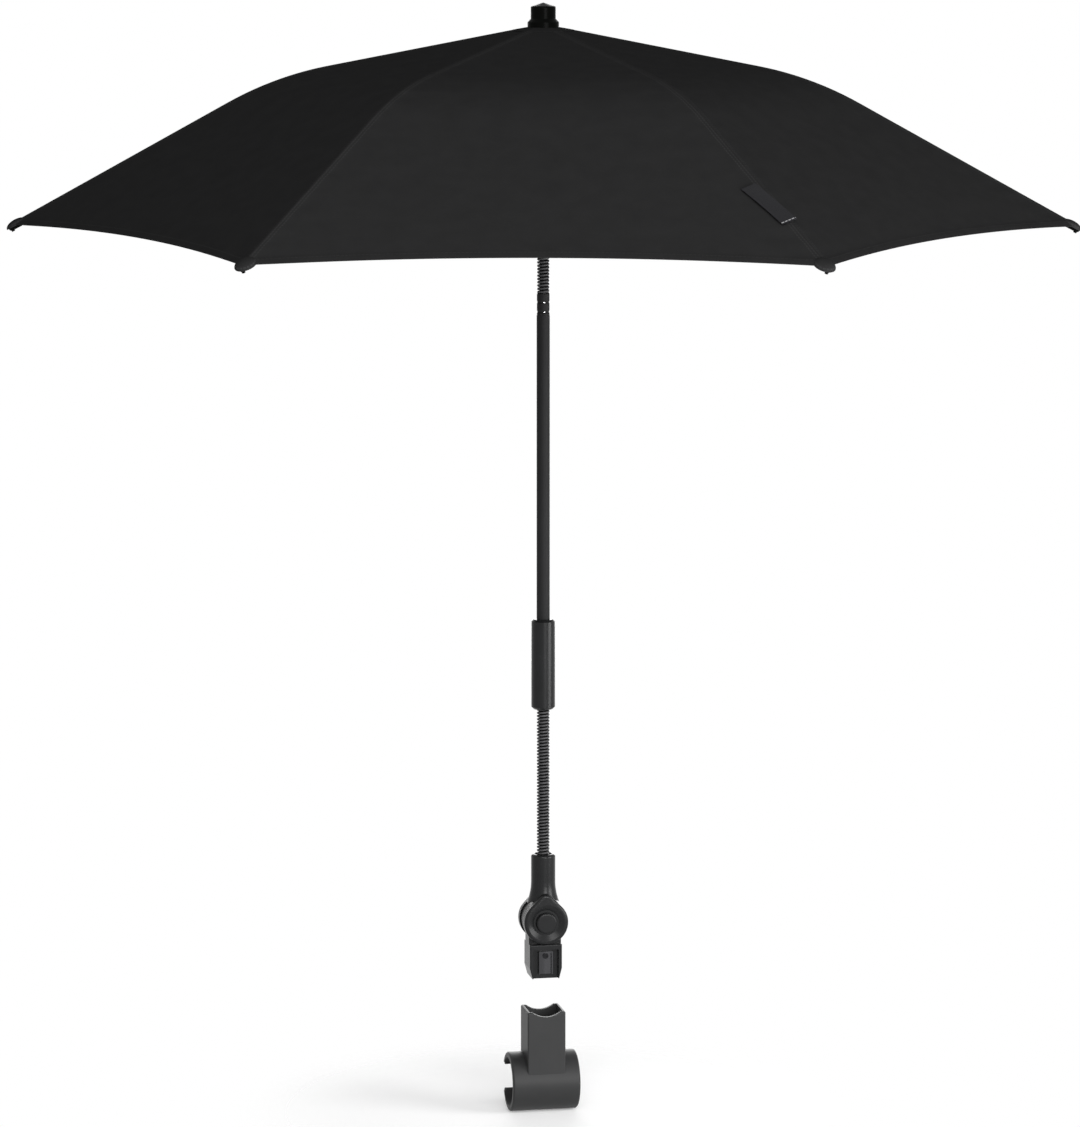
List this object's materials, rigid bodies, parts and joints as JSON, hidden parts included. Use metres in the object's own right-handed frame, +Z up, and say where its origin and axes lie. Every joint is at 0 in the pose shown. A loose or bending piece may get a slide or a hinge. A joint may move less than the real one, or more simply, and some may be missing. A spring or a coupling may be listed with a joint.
{
  "type": "pram parasol",
  "caption": "Folding black parasol for a pram, with a scalloped fabric canopy on hinged ribs, a mast with bendable gooseneck sections, a tilting hinge and a plug-in tube clip.",
  "frame": {"origin": "middle of the tube clip's bore, on its axis", "axes": "+X along the pram tube in the clip, +Z up along the mast, -Y to the front of the hinge"},
  "size_m": [0.7184, 0.6988, 0.7746],
  "materials": {
    "canopy_cloth": "matt black woven polyester",
    "label_weave": "black satin tape",
    "moulded_plastic": "satin dark grey",
    "gloss_plastic": "glossy black",
    "black_tube": "satin black",
    "black_winding": "glossy black",
    "rib_metal": "black",
    "bright_steel": "bright"
  },
  "bodies": {
    "clip": {"clip_body": "moulded_plastic"},
    "base": {"hinge_base": "moulded_plastic", "latch_leaf": "bright_steel", "latch_screw": "bright_steel", "hinge_axle": "bright_steel", "lock_spring": "bright_steel"},
    "button": {"hinge_button": "moulded_plastic", "lock_gear": "moulded_plastic"},
    "fork": {"hinge_fork": "moulded_plastic", "gooseneck_end_ferrule": "black_tube"},
    "lower_gooseneck": {"gooseneck_coil": "black_winding", "gooseneck_core": "black_winding"},
    "mast": {"gooseneck_top_ferrule": "black_tube", "coupling_sleeve": "moulded_plastic", "mast_tube": "black_tube", "tilt_ferrule": "black_tube", "ferrule_pins": "bright_steel"},
    "tilt_gooseneck": {"tilt_coil": "black_winding", "tilt_core": "black_winding"},
    "head": {"head_shaft": "black_tube", "hub": "moulded_plastic", "hub_wire": "bright_steel", "canopy_washer": "moulded_plastic", "finial": "gloss_plastic", "canopy": "canopy_cloth"},
    "runner": {"runner": "moulded_plastic"},
    "rib_1": {"inner_rib_1": "rib_metal", "rib_rivets_1": "bright_steel"},
    "outer_1": {"outer_rib_1": "rib_metal", "rib_tip_1": "gloss_plastic"},
    "stretcher_1": {"stretcher_1": "rib_metal"},
    "rib_2": {"inner_rib_2": "rib_metal", "rib_rivets_2": "bright_steel"},
    "outer_2": {"outer_rib_2": "rib_metal", "rib_tip_2": "gloss_plastic"},
    "stretcher_2": {"stretcher_2": "rib_metal"},
    "rib_3": {"inner_rib_3": "rib_metal", "rib_rivets_3": "bright_steel"},
    "outer_3": {"outer_rib_3": "rib_metal", "rib_tip_3": "gloss_plastic"},
    "stretcher_3": {"stretcher_3": "rib_metal"},
    "rib_4": {"inner_rib_4": "rib_metal", "rib_rivets_4": "bright_steel"},
    "outer_4": {"outer_rib_4": "rib_metal", "rib_tip_4": "gloss_plastic"},
    "stretcher_4": {"stretcher_4": "rib_metal"},
    "rib_5": {"inner_rib_5": "rib_metal", "rib_rivets_5": "bright_steel"},
    "outer_5": {"outer_rib_5": "rib_metal", "rib_tip_5": "gloss_plastic"},
    "stretcher_5": {"stretcher_5": "rib_metal"},
    "rib_6": {"inner_rib_6": "rib_metal", "rib_rivets_6": "bright_steel"},
    "outer_6": {"outer_rib_6": "rib_metal", "rib_tip_6": "gloss_plastic", "label_tag": "label_weave"},
    "stretcher_6": {"stretcher_6": "rib_metal"}
  },
  "joints": [
    {"name": "plug_in", "type": "slide", "parent": "clip", "child": "base", "axis": [0, 0, 1], "range_m": [-0.051, 0]},
    {"name": "hinge_tilt", "type": "hinge", "parent": "base", "child": "fork", "pos_m": [0, -0.0055, 0.1164], "axis": [0, 1, 0], "range_deg": [-90, 90]},
    {"name": "button_press", "type": "slide", "parent": "base", "child": "button", "axis": [0, 1, 0], "range_m": [0, 0.0022], "stiffness_N_per_m": 900, "springref_m": -0.0015, "deforming": ["lock_spring"]},
    {"name": "gooseneck_side", "type": "hinge", "parent": "fork", "child": "lower_gooseneck", "pos_m": [0, -0.0055, 0.18905], "axis": [0, 1, 0], "range_deg": [-40, 40], "deforming": ["gooseneck_coil", "gooseneck_core"]},
    {"name": "gooseneck_front", "type": "hinge", "parent": "lower_gooseneck", "child": "mast", "pos_m": [0, -0.0055, 0.24035], "axis": [1, 0, 0], "range_deg": [-40, 40], "deforming": ["gooseneck_coil", "gooseneck_core"]},
    {"name": "canopy_side", "type": "hinge", "parent": "mast", "child": "tilt_gooseneck", "pos_m": [0, -0.0055, 0.57425], "axis": [0.2079, 0.9781, 0], "range_deg": [-20, 20], "deforming": ["tilt_coil", "tilt_core"]},
    {"name": "canopy_front", "type": "hinge", "parent": "tilt_gooseneck", "child": "head", "pos_m": [0, -0.0055, 0.61275], "axis": [0.9781, -0.2079, 0], "range_deg": [-35, 35], "deforming": ["tilt_coil", "tilt_core"]},
    {"name": "runner_slide", "type": "slide", "parent": "head", "child": "runner", "axis": [0, 0, 1], "range_m": [-0.23751, 0], "deforming": ["canopy"]},
    {"name": "rib_1_fold", "type": "hinge", "parent": "head", "child": "rib_1", "pos_m": [0.00929, -0.00748, 0.727], "axis": [0.2079, 0.9781, 0], "range_deg": [0, 76.6]},
    {"name": "rib_1_flex", "type": "hinge", "parent": "rib_1", "child": "outer_1", "pos_m": [0.175, -0.0427, 0.69681], "axis": [-0.2079, -0.9781, 0], "range_deg": [0, 17.56]},
    {"name": "stretcher_1_fold", "type": "hinge", "parent": "rib_1", "child": "stretcher_1", "pos_m": [0.15288, -0.038, 0.6957], "axis": [-0.2079, -0.9781, 0], "range_deg": [0, 153.2]},
    {"name": "rib_2_fold", "type": "hinge", "parent": "head", "child": "rib_2", "pos_m": [0.00636, 0.00156, 0.727], "axis": [-0.7431, 0.6691, 0], "range_deg": [0, 76.6]},
    {"name": "rib_2_flex", "type": "hinge", "parent": "rib_2", "child": "outer_2", "pos_m": [0.11972, 0.12746, 0.69681], "axis": [0.7431, -0.6691, 0], "range_deg": [0, 17.56]},
    {"name": "stretcher_2_fold", "type": "hinge", "parent": "rib_2", "child": "stretcher_2", "pos_m": [0.10459, 0.11065, 0.6957], "axis": [0.7431, -0.6691, 0], "range_deg": [0, 153.2]},
    {"name": "rib_3_fold", "type": "hinge", "parent": "head", "child": "rib_3", "pos_m": [-0.00294, 0.00353, 0.727], "axis": [-0.9511, -0.309, 0], "range_deg": [0, 76.6]},
    {"name": "rib_3_flex", "type": "hinge", "parent": "rib_3", "child": "outer_3", "pos_m": [-0.05529, 0.16466, 0.69681], "axis": [0.9511, 0.309, 0], "range_deg": [0, 17.56]},
    {"name": "stretcher_3_fold", "type": "hinge", "parent": "rib_3", "child": "stretcher_3", "pos_m": [-0.0483, 0.14315, 0.6957], "axis": [0.9511, 0.309, 0], "range_deg": [0, 153.2]},
    {"name": "rib_4_fold", "type": "hinge", "parent": "head", "child": "rib_4", "pos_m": [-0.00929, -0.00352, 0.727], "axis": [-0.2079, -0.9781, 0], "range_deg": [0, 76.6]},
    {"name": "rib_4_flex", "type": "hinge", "parent": "rib_4", "child": "outer_4", "pos_m": [-0.175, 0.0317, 0.69681], "axis": [0.2079, 0.9781, 0], "range_deg": [0, 17.56]},
    {"name": "stretcher_4_fold", "type": "hinge", "parent": "rib_4", "child": "stretcher_4", "pos_m": [-0.15288, 0.027, 0.6957], "axis": [0.2079, 0.9781, 0], "range_deg": [0, 153.2]},
    {"name": "rib_5_fold", "type": "hinge", "parent": "head", "child": "rib_5", "pos_m": [-0.00636, -0.01256, 0.727], "axis": [0.7431, -0.6691, 0], "range_deg": [0, 76.6]},
    {"name": "rib_5_flex", "type": "hinge", "parent": "rib_5", "child": "outer_5", "pos_m": [-0.11972, -0.13846, 0.69681], "axis": [-0.7431, 0.6691, 0], "range_deg": [0, 17.56]},
    {"name": "stretcher_5_fold", "type": "hinge", "parent": "rib_5", "child": "stretcher_5", "pos_m": [-0.10459, -0.12165, 0.6957], "axis": [-0.7431, 0.6691, 0], "range_deg": [0, 153.2]},
    {"name": "rib_6_fold", "type": "hinge", "parent": "head", "child": "rib_6", "pos_m": [0.00294, -0.01453, 0.727], "axis": [0.9511, 0.309, 0], "range_deg": [0, 76.6]},
    {"name": "rib_6_flex", "type": "hinge", "parent": "rib_6", "child": "outer_6", "pos_m": [0.05529, -0.17566, 0.69681], "axis": [-0.9511, -0.309, 0], "range_deg": [0, 17.56]},
    {"name": "stretcher_6_fold", "type": "hinge", "parent": "rib_6", "child": "stretcher_6", "pos_m": [0.0483, -0.15415, 0.6957], "axis": [-0.9511, -0.309, 0], "range_deg": [0, 153.2]}
  ],
  "couplings": [
    {"joint": "rib_1_fold", "follows": "runner_slide", "rad_per_m": -5.6289},
    {"joint": "rib_1_flex", "follows": "runner_slide", "rad_per_m": -1.2906},
    {"joint": "stretcher_1_fold", "follows": "runner_slide", "rad_per_m": -11.258},
    {"joint": "rib_2_fold", "follows": "runner_slide", "rad_per_m": -5.6289},
    {"joint": "rib_2_flex", "follows": "runner_slide", "rad_per_m": -1.2906},
    {"joint": "stretcher_2_fold", "follows": "runner_slide", "rad_per_m": -11.258},
    {"joint": "rib_3_fold", "follows": "runner_slide", "rad_per_m": -5.6289},
    {"joint": "rib_3_flex", "follows": "runner_slide", "rad_per_m": -1.2906},
    {"joint": "stretcher_3_fold", "follows": "runner_slide", "rad_per_m": -11.258},
    {"joint": "rib_4_fold", "follows": "runner_slide", "rad_per_m": -5.6289},
    {"joint": "rib_4_flex", "follows": "runner_slide", "rad_per_m": -1.2906},
    {"joint": "stretcher_4_fold", "follows": "runner_slide", "rad_per_m": -11.258},
    {"joint": "rib_5_fold", "follows": "runner_slide", "rad_per_m": -5.6289},
    {"joint": "rib_5_flex", "follows": "runner_slide", "rad_per_m": -1.2906},
    {"joint": "stretcher_5_fold", "follows": "runner_slide", "rad_per_m": -11.258},
    {"joint": "rib_6_fold", "follows": "runner_slide", "rad_per_m": -5.6289},
    {"joint": "rib_6_flex", "follows": "runner_slide", "rad_per_m": -1.2906},
    {"joint": "stretcher_6_fold", "follows": "runner_slide", "rad_per_m": -11.258}
  ]
}
